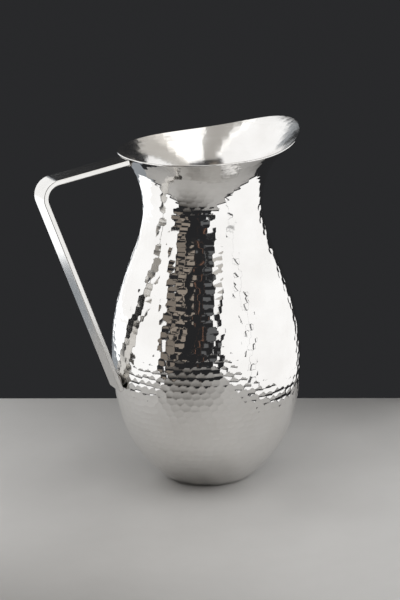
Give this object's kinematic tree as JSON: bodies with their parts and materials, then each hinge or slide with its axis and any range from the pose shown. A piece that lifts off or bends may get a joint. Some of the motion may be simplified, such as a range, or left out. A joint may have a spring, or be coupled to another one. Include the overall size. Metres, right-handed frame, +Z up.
{
  "type": "hammered metal water pitcher",
  "caption": "Hammered bulb-shaped metal water pitcher with a narrow neck, flared mouth, raised pouring lip and a bent flat-bar handle.",
  "frame": {"origin": "centre of the flat bottom that the pitcher stands on", "axes": "+Z up along the body's axis, +X from the axis towards the pouring lip, the handle at -X, +Y completing a right-handed frame"},
  "size_m": [0.1827, 0.13, 0.2439],
  "materials": {
    "polished_steel": "polished",
    "satin_steel": "satin",
    "weld_steel": "satin"
  },
  "bodies": {
    "root": {"lower_bowl": "polished_steel", "upper_shell": "polished_steel", "belly_weld": "polished_steel", "handle_bar": "satin_steel", "upper_handle_weld": "weld_steel", "lower_handle_weld": "weld_steel"}
  },
  "joints": []
}
